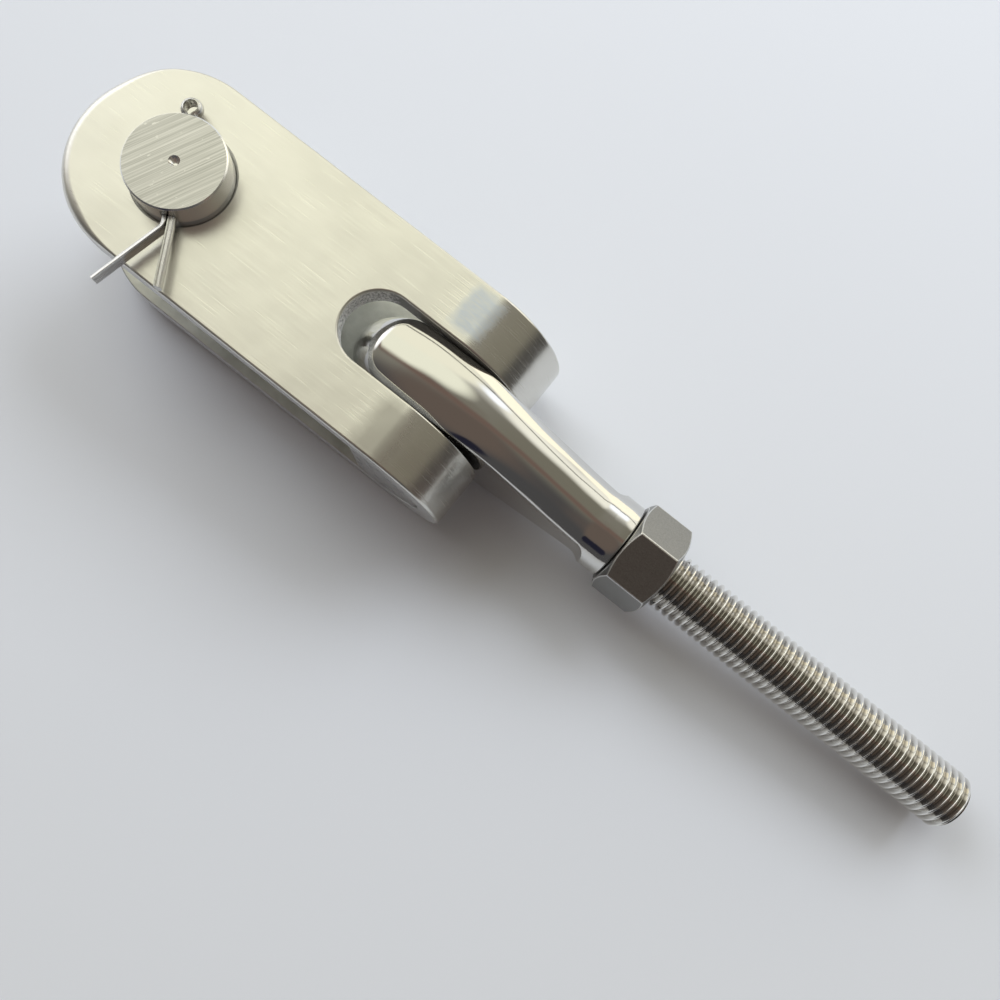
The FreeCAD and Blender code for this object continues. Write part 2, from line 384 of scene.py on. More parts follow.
def inside(points, loop):
    """Which of the points (n, 2) lie inside the closed loop (m, 2)."""
    found = np.zeros(len(points), bool)
    for (x0, y0), (x1, y1) in zip(loop, np.roll(loop, -1, axis=0)):
        if y0 != y1:
            crosses = (y0 > points[:, 1]) != (y1 > points[:, 1])
            found ^= crosses & (points[:, 0] < (x1 - x0) * (points[:, 1] - y0) / (y1 - y0) + x0)
    return found


def strap_face(shell, outline, holes, depth, out, slot):
    """Triangulate the outside or inside face of the unrolled strap between its loops."""
    points, edges = [], []
    for loop in [outline] + holes:
        start = len(points)
        points += [Vector((c[2][0], c[2][1])) for c in loop]
        edges += [(start + i, start + (i + 1) % len(loop)) for i in range(len(loop))]
    # lines across the bend, clear of the edges, so that the triangles follow its curve
    margin = 1.0
    limit = HALF_WIDTH - SIDE_ROUND - margin
    inner = SLOT_RADIUS + SLOT_ROUND + margin
    for i in range(BEND_STEPS + 1):
        s = PIVOT_X + BEND_LENGTH * i / BEND_STEPS
        for side in (1, -1):
            line = [inner + (limit - inner) * k / 4 for k in range(5)]
            start = len(points)
            points += [Vector((s, y * side)) for y in line]
            edges += [(start + k, start + k + 1) for k in range(4)]
    flat, _, triangles = delaunay_2d_cdt(points, edges, [], 0, 1e-5)[:3]
    flat = np.array([tuple(p) for p in flat])
    triangles = np.array([t for t in triangles if len(t) == 3])
    centres = flat[triangles].mean(axis=1)
    keep = inside(centres, np.array([c[2][:2] for c in outline]))
    for hole in holes:
        keep &= ~inside(centres, np.array([c[2][:2] for c in hole]))
    for triangle in triangles[keep]:
        shell.face([strap_corner(*flat[i], depth, 0, 0, out) for i in triangle], slot)


def toggle_strap(satin, wall, cut, inner):
    shell = Shell()
    far = SHEET_LENGTH - END_ARC_X
    outline = edge_rows(stadium(END_ARC_X, far, HALF_WIDTH), 1, end_round)
    slot_start = SLOT_END_X + SLOT_RADIUS
    slot = edge_rows(stadium(slot_start, SHEET_LENGTH - slot_start, SLOT_RADIUS), -1,
                     lambda s, y: SLOT_ROUND)
    bores = [chamfer_rows(circle(centre, PIN_RADIUS + RUNNING_FIT)) for centre in (0.0, SHEET_LENGTH)]
    shell.grid(outline[:EDGE_STEPS + 1], around=True, slot=0)
    shell.grid(outline[EDGE_STEPS:], around=True, slot=1)
    shell.grid(slot[:EDGE_STEPS + 1], around=True, slot=0)
    shell.grid(slot[EDGE_STEPS:], around=True, slot=2)
    for bore in bores:
        shell.grid(bore[:2], around=True, slot=1)
        shell.grid(bore[2:], around=True, slot=1)
    strap_face(shell, outline[0], [slot[0], bores[0][0], bores[1][0]], 0, 1, 0)
    strap_face(shell, outline[-1], [slot[-1], bores[0][-1], bores[1][-1]], THICKNESS, -1, 3)
    make_piece("toggle_strap_visual", shell, [satin, wall, cut, inner], "strap",
               "toggle_strap")


# ---- clevis pin and cotter

def lathe(shell, profile, slots, count=192):
    """Turn (radius, z) points about Z."""
    turns = [2 * math.pi * i / count for i in range(count)]
    rows = [plain([(r * math.cos(t), r * math.sin(t), z) for t in turns]) for r, z in profile]
    for first, second, slot in zip(rows, rows[1:], slots):
        shell.grid([first, second], around=True, slot=slot)


def cotter_directions():
    """Unit vectors along the cotter and across it, in plan."""
    along = Vector((math.cos(COTTER_ANGLE), math.sin(COTTER_ANGLE), 0))
    return along, Vector((-along.y, along.x, 0))


def clevis_pin(face, side):
    top = pin_high.z
    bottom = pin_low.z
    profile = [(0, top - DRILL_DEPTH), (DRILL_RADIUS, top), (PIN_RADIUS - PIN_CHAMFER, top),
               (PIN_RADIUS, top - PIN_CHAMFER), (PIN_RADIUS, HEAD_TOP),
               (HEAD_RADIUS - PIN_CHAMFER, HEAD_TOP), (HEAD_RADIUS, HEAD_TOP - PIN_CHAMFER),
               (HEAD_RADIUS, bottom + PIN_CHAMFER), (HEAD_RADIUS - PIN_CHAMFER, bottom), (0, bottom)]
    shell = Shell()
    lathe(shell, profile, [1, 0, 1, 1, 0, 1, 1, 1, 0])
    piece = make_piece("clevis_pin_visual", shell, [face, side], "clevis_pin",
                       "clevis_pin", sharp=25, weighted=True)
    # the hole for the cotter pin, drilled right through
    along, across = cotter_directions()
    middle = Vector((0, 0, COTTER_Z))
    reach = PIN_RADIUS + 5
    ring = [across * (CROSS_HOLE_RADIUS * math.cos(math.pi * i / 24))
            + Vector((0, 0, CROSS_HOLE_RADIUS * math.sin(math.pi * i / 24))) for i in range(48)]
    drill = Shell()
    drill.grid([plain([middle + along * end + p * size for p in ring])
                for end, size in ((-reach, 0), (-reach, 1), (reach, 1), (reach, 0))], around=True)
    cutter = make_piece("cutter", drill, [side], "clevis_pin", sharp=30)
    cut = piece.modifiers.new("cross_hole", "BOOLEAN")
    cut.object = cutter
    cut.solver = "EXACT"
    piece.modifiers.move(1, 0)           # before the weighted normals
    graph = bpy.context.evaluated_depsgraph_get()
    piece.data = bpy.data.meshes.new_from_object(piece.evaluated_get(graph))
    piece.modifiers.clear()
    bpy.data.objects.remove(cutter)


def cotter_path():
    """Points (along, across, heading) of the wire's flat side, from one leg's tip to the other."""
    path = []

    def line(start, end, heading, count):
        for i in range(count + 1):
            x, y = Vector(start).lerp(Vector(end), i / count)
            path.append((x, y, heading))

    def arc(centre, radius, start, sweep, count):
        """Arc whose heading turns with it; a positive sweep turns left."""
        for i in range(1, count + 1):
            turn = start + sweep * i / count
            x, y = centre[0] + radius * math.cos(turn), centre[1] + radius * math.sin(turn)
            path.append((x, y, turn + math.copysign(math.pi / 2, sweep)))

    aside = COTTER_SPLIT + COTTER_EYE_BLEND
    reach = math.sqrt((COTTER_EYE_INNER + COTTER_EYE_BLEND) ** 2 - aside ** 2)
    open_x = COTTER_EYE_X + reach        # where the legs begin to part
    meet = math.atan2(aside, reach)
    line((COTTER_LEG_TIP, COTTER_SPLIT), (open_x, COTTER_SPLIT), math.pi, 30)
    arc((open_x, aside), COTTER_EYE_BLEND, -math.pi / 2, meet - math.pi / 2, 8)
    arc((COTTER_EYE_X, 0), COTTER_EYE_INNER, meet, 2 * math.pi - 2 * meet, 40)
    arc((open_x, -aside), COTTER_EYE_BLEND, math.pi - meet, meet - math.pi / 2, 8)
    line((open_x, -COTTER_SPLIT), (COTTER_BEND_START, -COTTER_SPLIT), 0, 24)
    arc((COTTER_BEND_START, -COTTER_SPLIT - COTTER_BEND_RADIUS), COTTER_BEND_RADIUS, math.pi / 2,
        -COTTER_BEND_ANGLE, 8)
    x, y, heading = path[-1]
    tip = (x + COTTER_BENT_LENGTH * math.cos(heading), y + COTTER_BENT_LENGTH * math.sin(heading))
    line((x, y), tip, heading, 14)
    return path


def half_round_section(radius, edge=0.3):
    """Half-round outline (bulge, height) with eased corners, starting and ending on the flat."""
    points = [(0.0, -(radius - 2 * edge)), (0.0, 0.0), (0.0, radius - 2 * edge),
              (edge * 0.3, radius - edge * 0.6)]
    for i in range(1, 24):
        turn = math.pi / 2 - math.pi * i / 24
        points.append((radius * math.cos(turn), radius * math.sin(turn)))
    points.append((edge * 0.3, -(radius - edge * 0.6)))
    return points


def cotter_pin(wire):
    along, across = cotter_directions()
    middle = Vector((0, 0, COTTER_Z))
    section = half_round_section(COTTER_RADIUS)
    rows = []
    travelled = 0.0
    previous = None
    for x, y, heading in cotter_path():
        if previous:
            travelled += math.dist(previous, (x, y))
        previous = (x, y)
        bulge = Vector((math.sin(heading), -math.cos(heading)))
        from_eye = math.hypot(x - COTTER_EYE_X, y)
        thin = COTTER_EYE_THIN + (1 - COTTER_EYE_THIN) * smoothstep(2.2, 6.0, from_eye)
        row = []
        for out, up in section:
            flat = Vector((x, y)) + bulge * (out * thin)
            point = middle + along * flat.x + across * flat.y + Vector((0, 0, up))
            row.append((point, None, (travelled, out * 3, up)))
        rows.append(row)
    shell = Shell()
    shell.grid(rows, around=True)
    shell.face(rows[0])
    shell.face(rows[-1])
    make_piece("cotter_pin_visual", shell, [wire], "clevis_pin", "cotter_pin",
               sharp=40)


# ---- T-bolt and lock nut

def on_stud(s, y, up):
    """Place a point given along the stud, across it and above it, about the cross-bar's axis."""
    return Vector((PIVOT_X, 0, 0)) + STUD_AXIS * s + Vector((0, y, 0)) + STUD_UP * up


def natural_spline(knots, values, places):
    """Natural cubic through values at knots, at the given places."""
    knots, values = np.array(knots), np.array(values)
    gap = np.diff(knots)
    size = len(knots)
    matrix = np.eye(size)
    right = np.zeros(size)
    for i in range(1, size - 1):
        matrix[i, i - 1:i + 2] = gap[i - 1], 2 * (gap[i - 1] + gap[i]), gap[i]
        right[i] = 6 * ((values[i + 1] - values[i]) / gap[i]
                        - (values[i] - values[i - 1]) / gap[i - 1])
    bend = np.linalg.solve(matrix, right)
    index = np.clip(np.searchsorted(knots, places) - 1, 0, size - 2)
    h, left, after = gap[index], places - knots[index], knots[index + 1] - places
    value = (bend[index] * after ** 3 + bend[index + 1] * left ** 3) / (6 * h)
    value += (values[index] / h - bend[index] * h / 6) * after
    return value + (values[index + 1] / h - bend[index + 1] * h / 6) * left


def neck_half_width(s):
    """Half width of the slab, running out to the round shoulder through a concave ramp."""
    if s <= RAMP_START:
        return NECK_HALF + (HUB_HALF - NECK_HALF) * (1 - smoothstep(HUB_END, NECK_START, s))
    length, rise = SHOULDER_FULL - RAMP_START, CROWN_RADIUS - NECK_HALF
    radius = (length ** 2 + rise ** 2) / (2 * rise)
    return min(NECK_HALF + radius - math.sqrt(radius ** 2 - (s - RAMP_START) ** 2), CROWN_RADIUS)


def ridge(s):
    """Height of the neck's ridge; past the neck it is the round shoulder's."""
    knots, values = zip(*RIDGE_LINE)
    up = float(natural_spline(knots, values, np.array([s]))[0])
    if s < 45:                           # well short of the shoulder
        return up
    above = (up - CROWN_RADIUS) / SHOULDER_BLEND
    return CROWN_RADIUS + SHOULDER_BLEND * float(np.logaddexp(0, above))


def crown_radius(s):
    """Radius of the crown across the neck: flatter over the hub."""
    hub_share = 1 - smoothstep(HUB_CROWN_END, NECK_CROWN_START, s)
    return CROWN_RADIUS + (HUB_CROWN_RADIUS - CROWN_RADIUS) * hub_share


def crown(s, y):
    """Point of the crowned top surface."""
    radius = crown_radius(s)
    return Vector((s, y, ridge(s) - radius + math.sqrt(max(radius ** 2 - y ** 2, 0.0))))


def eased_edge(first, leave, last, arrive, count):
    """Points after `first` on a smooth curve that leaves and arrives in the given directions."""
    handle = (last - first).length * 0.36
    points = []
    for i in range(1, count + 1):
        t = i / count
        points.append(first * (1 - t) ** 3 + (first + leave * handle) * (3 * t * (1 - t) ** 2)
                      + (last + arrive * handle) * (3 * t * t * (1 - t)) + last * t ** 3)
    return points


def neck_station(start, wall, half, ease, steps):
    """Points from the ridge over the crown, round the eased edge and down the wall to mid height.

    `start` is the place on the ridge; wall(up) gives the wall's (s, y) at a height.
    """
    edge_up = NOSE_TOP
    for _ in range(12):                  # closes in on the height where wall and crown meet
        edge_up = crown(*wall(edge_up)).z
    edge = Vector(wall(edge_up))
    away = edge - Vector((start, 0))
    reach = 1 - ease / away.length
    widest = math.asin(min(half * reach / crown_radius(start), 1.0))
    points = []
    for i in range(steps[0] + 1):
        share = math.sin(widest * i / steps[0]) / math.sin(widest) * reach
        points.append(crown(start + away.x * share, away.y * share))
    low = edge_up - ease
    first, last = points[-1], Vector((*wall(low), low))
    if ease > 1e-3:
        before = crown(start + away.x * (reach - 0.01), away.y * (reach - 0.01))
        below = Vector((*wall(low - 0.05), low - 0.05))
        points += eased_edge(first, (first - before).normalized(), last, (last - below).normalized(),
                             steps[1])
    else:
        points += [first] * steps[1]
    for i in range(1, steps[2] + 1):
        up = max(low, 0.0) * (1 - i / steps[2])
        points.append(Vector((*wall(up), up)))
    return [tuple(point) for point in points]


def neck_stations(steps):
    """Stations round one quarter of the neck, from the front of the nose to the shoulder."""
    stations = []
    focus = NOSE_FRONT + NOSE_REACH + HUB_HALF   # the nose is round about this place

    def nose_wall(turn):
        """Wall of the nose in one direction, bulging out below the crown."""
        def wall(up):
            front = NOSE_FRONT + NOSE_REACH * (max(up, 0.0) / NOSE_TOP) ** NOSE_POWER
            return front + HUB_HALF * (1 - math.cos(turn)), HUB_HALF * math.sin(turn)
        return wall

    for i in range(33):
        ease = NOSE_EDGE + (HUB_EDGE - NOSE_EDGE) * smoothstep(14, 32, i)
        stations.append(neck_station(focus, nose_wall(math.pi / 2 * i / 32), HUB_HALF, ease, steps))
    length = SHOULDER_FULL - focus
    # shares of the way, closer together by the shoulder, where the walls run out into its round
    shares = [i / 130 for i in range(1, 130)] + [0.9965, 0.9985, 0.9995, 1.0]
    for t in shares:
        s = focus + length * (t + 0.12 * math.sin(math.pi * t))
        half = CROWN_RADIUS if t == 1.0 else neck_half_width(s)
        ease = NECK_EDGE + (HUB_EDGE - NECK_EDGE) * (1 - smoothstep(focus, NECK_EDGE_START, s))
        ease *= min(1.0, (CROWN_RADIUS - half) / 1.2)
        stations.append(neck_station(s, lambda up, s=s, half=half: (s, half), half, ease, steps))
    return stations


def neck_shell():
    """Nose, neck and shoulder, as one quarter mirrored across and from top to bottom."""
    shell = Shell()
    crown_steps, edge_steps, flank_steps = 24, 6, 12
    stations = neck_stations((crown_steps, edge_steps, flank_steps))
    ring = [(math.sin(math.pi / 2 * i / crown_steps), math.cos(math.pi / 2 * i / crown_steps))
            for i in range(crown_steps + 1)]
    ring += [ring[-1]] * (edge_steps + flank_steps)
    for s, radius in ((SHOULDER_MIDDLE, CROWN_RADIUS),
                      (SHOULDER_END - SHOULDER_CHAMFER, CROWN_RADIUS),
                      (SHOULDER_END - SHOULDER_CHAMFER * 0.3, CROWN_RADIUS - SHOULDER_CHAMFER * 0.3),
                      (SHOULDER_END, CROWN_RADIUS - SHOULDER_CHAMFER),
                      (SHOULDER_END, CORE_RADIUS)):
        stations.append([(s, radius * y, radius * up) for y, up in ring])
    for side in (1, -1):
        for way in (1, -1):
            shell.grid([plain([on_stud(s, y * side, up * way) for s, y, up in section])
                        for section in stations])
    turns = [math.pi * i / 48 for i in range(96)]
    shell.face(plain([on_stud(SHOULDER_END, CORE_RADIUS * math.sin(t), CORE_RADIUS * math.cos(t))
                      for t in turns]))
    return shell


def bar_shell():
    """Cross-bar: round where it bears on the bend, flat at the back, chamfered at the ends."""
    bar = Shell()
    rows = []
    for y, inset in ((-BAR_HALF_LENGTH, BAR_CHAMFER), (BAR_CHAMFER - BAR_HALF_LENGTH, 0.0),
                     (BAR_HALF_LENGTH - BAR_CHAMFER, 0.0), (BAR_HALF_LENGTH, BAR_CHAMFER)):
        radius, back = BAR_RADIUS - inset, BAR_BACK - inset
        reach = math.pi - math.acos(back / radius)
        rows.append(plain([on_stud(radius * math.cos(reach * (i / 36 - 1)), y,
                                   radius * math.sin(reach * (i / 36 - 1))) for i in range(73)]))
    bar.grid(rows, around=True)
    bar.face(rows[0])
    bar.face(rows[-1])
    return bar


def thread_shell():
    """Right-handed V thread with eased crests and roots, from the shoulder's relief to the tip."""
    # place along one pitch, and drop below the crest as a share of the thread's depth
    shape = [(-0.05, 0.0), (0.05, 0.0), (0.08, 0.03), (0.105, 0.11), (0.34, 0.87), (0.37, 0.95),
             (0.42, 1.0), (0.58, 1.0), (0.63, 0.95), (0.66, 0.87), (0.895, 0.11), (0.92, 0.03)]
    root = THREAD_RADIUS - THREAD_DEPTH
    turns = math.ceil((STUD_END - RELIEF_END) / THREAD_PITCH) + 1
    columns = []
    for i in range(THREAD_TURN + 1):
        turn = 2 * math.pi * i / THREAD_TURN
        column = []
        for whole in range(-1, turns):
            for part, drop in shape:
                s = RELIEF_END + THREAD_PITCH * (whole + part + i / THREAD_TURN)
                s = min(max(s, RELIEF_END), STUD_END)
                chamfer = root + (STUD_END - s) * (THREAD_DEPTH / END_CHAMFER)
                run_in = root + (s - RELIEF_END) * 0.9
                radius = min(THREAD_RADIUS - drop * THREAD_DEPTH, chamfer, run_in)
                column.append((on_stud(s, radius * math.sin(turn), radius * math.cos(turn)), None,
                               (s, turn * THREAD_RADIUS, drop)))
        columns.append(column)
    shell = Shell()
    shell.grid(columns)
    ring = [(math.sin(2 * math.pi * i / THREAD_TURN), math.cos(2 * math.pi * i / THREAD_TURN))
            for i in range(THREAD_TURN)]
    ends = []
    for places in ((SHOULDER_END - 0.5, RELIEF_END), (STUD_END, STUD_END)):
        rows = [plain([on_stud(s, root * y, root * up) for y, up in ring]) for s in places]
        shell.grid(rows, around=True)
        ends.append(rows)
    shell.face(ends[0][0])
    shell.face(ends[1][1])
    return shell


def t_bolt(polished, bar_steel, thread_steel):
    make_piece("t_bolt_neck", neck_shell(), [polished], "t_bolt", "t_bolt", sharp=28)
    make_piece("t_bolt_bar", bar_shell(), [bar_steel], "t_bolt", sharp=30,
               weighted=True)
    make_piece("t_bolt_thread", thread_shell(), [thread_steel], "t_bolt",
               sharp=50, weighted=True)


def hexagon():
    """Directions (angle, radius, on a corner) round the nut, with its six corners eased."""
    centre = (NUT_HALF_FLATS - NUT_CORNER_ROUND) / math.cos(math.pi / 6)
    limit = math.atan2(NUT_CORNER_ROUND / 2, centre + NUT_CORNER_ROUND * math.cos(math.pi / 6))
    places = []
    for sector in range(6):
        corner = math.radians(NUT_TURN + 60 * sector)
        for i in range(-4, 5):
            a = limit * i / 4
            rise = math.sqrt(NUT_CORNER_ROUND ** 2 - (centre * math.sin(a)) ** 2)
            radius = centre * math.cos(a) + rise
            places.append((corner + a, radius, True))
        for i in range(1, 16):
            a = limit + (math.pi / 3 - 2 * limit) * i / 16
            places.append((corner + a, NUT_HALF_FLATS / math.cos(math.pi / 6 - a), False))
    return places


def nut_profile(radius):
    """Points (radius, along) round the nut's section, from mid bore out over both faces."""
    cross = (radius - NUT_FACE_RADIUS) * NUT_CHAMFER_SLOPE
    half = [(NUT_BORE, NUT_HEIGHT / 2), (NUT_BORE, NUT_BORE_CHAMFER),
            (NUT_BORE + NUT_BORE_CHAMFER, 0), (NUT_FACE_RADIUS - NUT_FACE_EDGE, 0),
            (NUT_FACE_RADIUS + NUT_FACE_EDGE, 0.15), (radius - 0.2, cross - 0.08),
            (radius, cross + 0.3), (radius, NUT_HEIGHT / 2)]
    return half + [(r, NUT_HEIGHT - s) for r, s in reversed(half[1:-1])]


def lock_nut(matte, worn_edge_highlight):
    """Nut with its bright edges, rounded by wear, in their own material, whose brightness is a
    painted highlight.
    """
    places = hexagon()
    columns = [[plain([on_stud(NUT_START + s, r * math.sin(angle), r * math.cos(angle))])[0]
                for r, s in nut_profile(radius)] for angle, radius, _ in places]
    rows = [list(row) for row in zip(*columns)]
    shell = Shell()
    rows.append(rows[0])
    for index, (first, second) in enumerate(zip(rows, rows[1:])):
        for i in range(len(places)):
            j = (i + 1) % len(places)
            on_rim = index in (3, 5, 8, 10)
            on_corner = index in (6, 7) and places[i][2] and places[j][2]
            shell.face([first[i], first[j], second[j], second[i]], 1 if on_rim or on_corner else 0)
    make_piece("lock_nut_visual", shell, [matte, worn_edge_highlight], "lock_nut", "lock_nut",
               sharp=22, weighted=True)


# ---- materials

class Metal:
    """A metal material, with helpers for its noise, colour and bump."""

    def __init__(self, name, color, roughness):
        self.material = bpy.data.materials.new(name)
        self.material.use_nodes = True
        self.tree = self.material.node_tree
        self.shader = self.tree.nodes["Principled BSDF"]
        self.shader.inputs["Metallic"].default_value = 1.0
        self.shader.inputs["Base Color"].default_value = (*color, 1)
        self.shader.inputs["Roughness"].default_value = roughness
        self.bumps = None

    def node(self, kind, **inputs):
        made = self.tree.nodes.new(kind)
        for name, value in inputs.items():
            made.inputs[name].default_value = value
        return made

    def link(self, output, target):
        self.tree.links.new(output, target)

    def feed(self, target, value):
        """Give an input a constant, or what another node puts out."""
        if isinstance(value, bpy.types.NodeSocket):
            self.link(value, target)
        else:
            target.default_value = value

    def raw_grain(self):
        """The grain as it lies on the mesh, in millimetres."""
        source = self.tree.nodes.new("ShaderNodeAttribute")
        source.attribute_name = "grain"
        return source.outputs["Vector"]

    def grain(self, stretch, turn=0.0):
        """Grain along, across and into the surface, each scaled, after a turn in plan."""
        mapping = self.node("ShaderNodeMapping", Rotation=(0, 0, turn), Scale=stretch)
        mapping.vector_type = "TEXTURE" if turn else "POINT"
        if turn:
            mapping.inputs["Scale"].default_value = tuple(1 / s for s in stretch)
        self.link(self.raw_grain(), mapping.inputs["Vector"])
        return mapping.outputs["Vector"]

    def noise(self, coordinates, detail, roughness=0.5):
        made = self.node("ShaderNodeTexNoise", Scale=1.0, Detail=detail, Roughness=roughness)
        self.link(coordinates, made.inputs["Vector"])
        return made.outputs["Fac"]

    def ramp(self, value, low, high, to_low, to_high):
        made = self.node("ShaderNodeMapRange")
        for index, number in enumerate((low, high, to_low, to_high)):
            made.inputs[index + 1].default_value = number
        self.link(value, made.inputs[0])
        return made.outputs[0]

    def place(self, axis):
        """Where a point is along the grain's X, Y or Z, in millimetres."""
        split = self.tree.nodes.new("ShaderNodeSeparateXYZ")
        self.link(self.raw_grain(), split.inputs["Vector"])
        return split.outputs[axis]

    def math(self, operation, first, second):
        made = self.tree.nodes.new("ShaderNodeMath")
        made.operation = operation
        self.link(first, made.inputs[0])
        self.link(second, made.inputs[1])
        return made.outputs["Value"]

    def blend(self, kind, share, first, second):
        """From first to second, as the share goes from nought to one."""
        mix = self.tree.nodes.new("ShaderNodeMix")
        mix.data_type = kind
        self.link(share, mix.inputs["Factor"])
        self.feed(mix.inputs["A"], first)
        self.feed(mix.inputs["B"], second)
        return mix.outputs["Result"]

    def patch(self, ranges, soft, ragged):
        """One inside a rectangle of the grain with soft and ragged sides, nought outside it."""
        uneven = self.noise(self.grain((0.3, 0.3, 0.3)), detail=3)
        wander = self.ramp(uneven, 0.2, 0.8, -ragged, ragged)
        inside_it = None
        for axis, (low, high) in zip("XY", ranges):
            at = self.math("ADD", self.place(axis), wander)
            for edge, side in ((low, 1), (high, -1)):
                part = self.ramp(at, edge - soft * side, edge + soft * side, 0, 1)
                inside_it = self.math("MULTIPLY", inside_it, part) if inside_it else part
        return inside_it

    def overlay(self, mask, color, roughness):
        """Lay another colour and roughness over what is there, where the mask is one."""
        for name, kind, value in (("Base Color", "RGBA", (*color, 1)),
                                  ("Roughness", "FLOAT", roughness)):
            target = self.shader.inputs[name]
            below = target.links[0].from_socket
            self.link(self.blend(kind, mask, below, value), target)

    def set_roughness(self, value, low, high):
        self.link(self.ramp(value, 0.3, 0.7, low, high), self.shader.inputs["Roughness"])

    def tint(self, value, first, second, low=0.3, high=0.7):
        """Colour that goes from first to second as the value goes from low to high."""
        share = self.ramp(value, low, high, 0, 1)
        color = self.blend("RGBA", share, (*first, 1), (*second, 1))
        self.link(color, self.shader.inputs["Base Color"])

    def bump(self, value, height_mm):
        """Add a bump of that many millimetres to what is already there."""
        made = self.node("ShaderNodeBump", Strength=1.0, Distance=height_mm * MM)
        self.link(value, made.inputs["Height"])
        if self.bumps:
            self.link(self.bumps, made.inputs["Normal"])
        self.bumps = made.outputs["Normal"]
        self.link(self.bumps, self.shader.inputs["Normal"])


def satin_steel():
    """Outside of the strap: brush lines along its length, darker from the bend on as painted shade,
    more polished round the bend, with a painted highlight and painted shade in two patches there.
    """
    metal = Metal("strap_satin", (0.70, 0.69, 0.65), 0.30)
    lines = metal.noise(metal.grain((0.05, 2.6, 2.6)), detail=4, roughness=0.6)
    broad = metal.noise(metal.grain((0.03, 0.05, 0.05)), detail=3)
    # painted shade: the colour darkens from the start of the bend onward
    bend_shade = metal.ramp(metal.place("X"), PIVOT_X + 3, PIVOT_X + 20, 0.0, -0.42)
    metal.tint(metal.math("ADD", broad, bend_shade), (0.66, 0.65, 0.61), (0.80, 0.79, 0.74), -0.1, 0.55)
    polish = metal.ramp(metal.place("X"), PIVOT_X - 16, PIVOT_X + 4, 0.15, -0.15)
    metal.set_roughness(metal.math("ADD", lines, polish), 0.19, 0.37)
    streaks = metal.noise(metal.grain((0.22, 1.6, 1.6)), detail=4, roughness=0.7)
    streaks = metal.ramp(streaks, 0.35, 0.6, 0.55, 1)
    # painted highlight: a bluish-white tint laid in brush streaks over one patch
    brushed_highlight = metal.math("MULTIPLY", metal.patch(BRUSHED_HIGHLIGHT_PATCH, 1.3, 0.8), streaks)
    metal.overlay(brushed_highlight, (0.66, 0.72, 0.82), 0.42)
    # painted shade: a darker, duller patch on the other side of the slot
    metal.overlay(metal.patch(DULL_SHADE_PATCH, 2.5, 0.9), (0.56, 0.55, 0.51), 0.34)
    metal.bump(lines, 0.010)
    metal.bump(metal.noise(metal.grain((0.09, 0.09, 0.09)), detail=1), 0.12)
    return metal.material


def wall_steel():
    """Sawn and ground sides of the strap."""
    metal = Metal("strap_wall", (0.62, 0.62, 0.61), 0.36)
    grit = metal.noise(metal.grain((0.4, 1.4, 1.4)), detail=5, roughness=0.7)
    metal.set_roughness(grit, 0.3, 0.46)
    metal.bump(grit, 0.03)
    return metal.material


def cut_steel():
    """Inside of the slot: gritty, its colour lighter at the closed end as painted light and darker
    and more even along the sides as painted shade.
    """
    metal = Metal("strap_slot_cut", (0.8, 0.8, 0.8), 0.5)
    metal.shader.inputs["Metallic"].default_value = 0.5
    grit = metal.noise(metal.grain((1.2, 1.2, 1.2)), detail=4, roughness=0.7)
    # painted light and shade: the closed end stays light, the sides are darkened
    end_light_side_shade = metal.ramp(metal.place("X"), SLOT_END_X + 6, SLOT_END_X + 13, 0.0, -0.3)
    metal.tint(metal.math("ADD", grit, end_light_side_shade), (0.34, 0.34, 0.34), (1.0, 1.0, 1.0), 0.36, 0.55)
    metal.set_roughness(grit, 0.45, 0.6)
    metal.bump(grit, 0.3)
    return metal.material


def inner_steel():
    """Inside of the U, dull and cloudy."""
    metal = Metal("strap_inside", (0.62, 0.63, 0.60), 0.42)
    broad = metal.noise(metal.grain((0.12, 0.12, 0.12)), detail=4)
    metal.tint(broad, (0.52, 0.53, 0.50), (0.70, 0.71, 0.68))
    metal.bump(metal.noise(metal.grain((0.5, 0.5, 0.5)), detail=3), 0.06)
    return metal.material


def milled_steel():
    """End of the pin: straight tool lines with a few bright nicks."""
    metal = Metal("pin_face", (0.54, 0.535, 0.51), 0.36)
    direction = math.radians(67)
    lines = metal.noise(metal.grain((0.02, 2.1, 0.5), direction), detail=3, roughness=0.75)
    nicks = metal.noise(metal.grain((0.45, 0.9, 0.5), direction), detail=1)
    bright = metal.ramp(nicks, 0.74, 0.77, 0.0, 0.8)
    metal.tint(metal.math("ADD", lines, bright), (0.40, 0.40, 0.38), (0.72, 0.715, 0.69), 0.34, 0.66)
    metal.set_roughness(lines, 0.3, 0.42)
    metal.bump(lines, 0.02)
    return metal.material


def turned_steel():
    """Shank of the pin, with fine rings round it."""
    metal = Metal("pin_side", (0.92, 0.92, 0.91), 0.2)
    rings = metal.noise(metal.grain((0.03, 0.03, 3.0)), detail=3)
    metal.set_roughness(rings, 0.15, 0.27)
    metal.bump(rings, 0.006)
    return metal.material


def wire_steel():
    """Drawn wire, marked along its length."""
    metal = Metal("cotter_wire", (0.72, 0.72, 0.70), 0.24)
    drawn = metal.noise(metal.grain((0.08, 1.5, 1.5)), detail=4, roughness=0.65)
    metal.tint(drawn, (0.58, 0.58, 0.56), (0.80, 0.80, 0.78))
    metal.set_roughness(drawn, 0.18, 0.32)
    metal.bump(drawn, 0.05)
    return metal.material


def polished_steel():
    """Hand-polished forging: a mirror that is not quite even."""
    metal = Metal("t_bolt_polished", (0.68, 0.675, 0.65), 0.07)
    metal.set_roughness(metal.noise(metal.grain((0.2, 0.2, 0.2)), detail=3), 0.05, 0.10)
    metal.bump(metal.noise(metal.grain((0.05, 0.12, 0.12)), detail=1), 0.10)
    metal.bump(metal.noise(metal.grain((1.2, 3.0, 3.0)), detail=2), 0.0012)
    return metal.material


